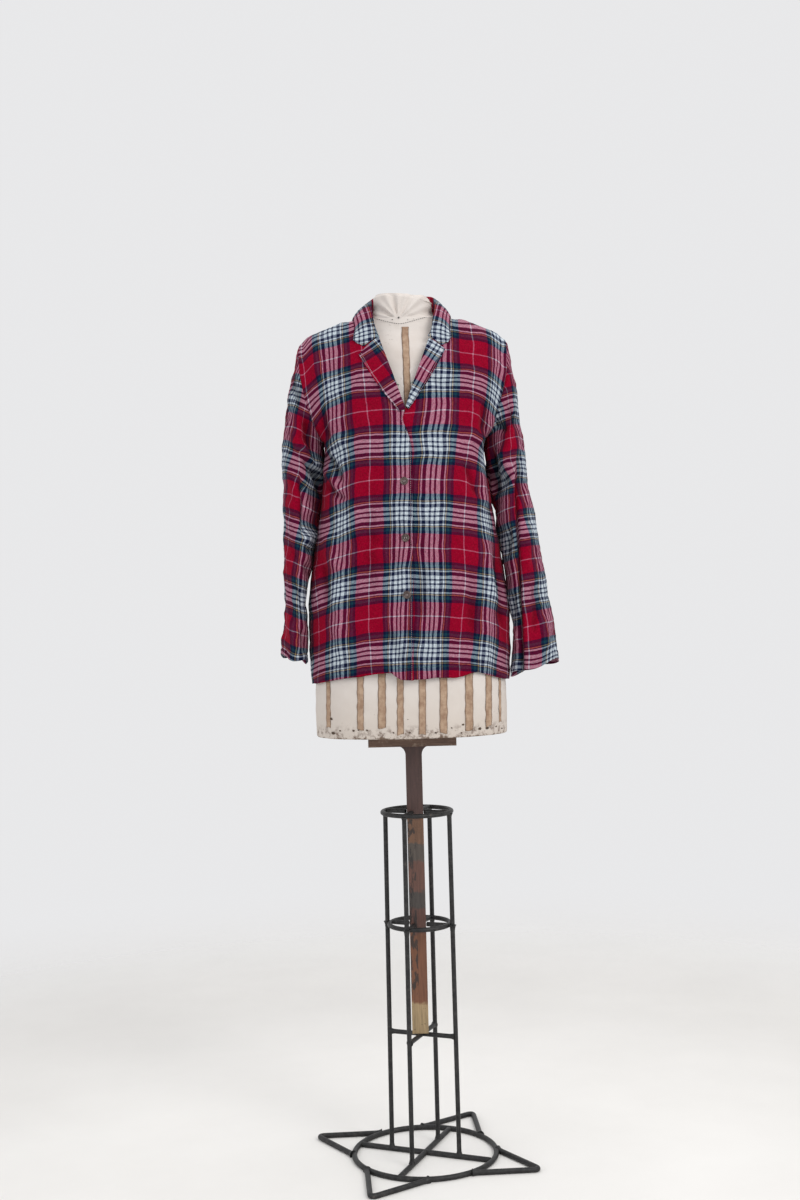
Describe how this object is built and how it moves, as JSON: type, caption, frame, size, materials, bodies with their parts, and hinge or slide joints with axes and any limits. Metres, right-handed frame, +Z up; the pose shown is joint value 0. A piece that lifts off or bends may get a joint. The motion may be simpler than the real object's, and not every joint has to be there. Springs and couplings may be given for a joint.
{
  "type": "flannel shirt on a dress form with stand",
  "caption": "Loose long-sleeved flannel shirt with a notched collar, buttoned on a limbless canvas dress form that stands on a wooden post in a welded rod stand.",
  "frame": {"origin": "on the floor under the middle of the stand, on the underside of the through bar of its base", "axes": "+Z up, -Y out of the shirt's buttoned front, +X towards the wearer's left"},
  "size_m": [0.514, 0.4066, 1.598],
  "materials": {
    "flannel": "brushed wool-like cotton in a red, navy and white tartan check",
    "button": "grey-brown, satin",
    "canvas": "aged cream canvas with paper tapes",
    "wood": "old dark stain, worn",
    "iron": "blackened, worn"
  },
  "bodies": {
    "root": {"back": "flannel", "front_right": "flannel", "front_left": "flannel", "sleeve_right": "flannel", "sleeve_left": "flannel", "collar": "flannel", "lapel_right": "flannel", "lapel_left": "flannel", "button_1": "button", "button_2": "button", "button_3": "button", "form_torso": "canvas", "form_neck": "canvas", "cross_board": "wood", "post": "wood", "base_ring": "iron", "base_bar_a": "iron", "base_bar_b1": "iron", "base_bar_b2": "iron", "top_ring": "iron", "mid_ring": "iron", "brace_a": "iron", "brace_b1": "iron", "brace_b2": "iron", "rod_1": "iron", "rod_2": "iron", "rod_3": "iron", "rod_4": "iron", "foot_1": "iron", "foot_2": "iron", "foot_3": "iron", "foot_4": "iron", "top_stub_1": "iron", "top_stub_2": "iron", "top_stub_3": "iron", "top_stub_4": "iron", "mid_stub_1": "iron", "mid_stub_2": "iron", "mid_stub_3": "iron", "mid_stub_4": "iron"}
  },
  "joints": []
}
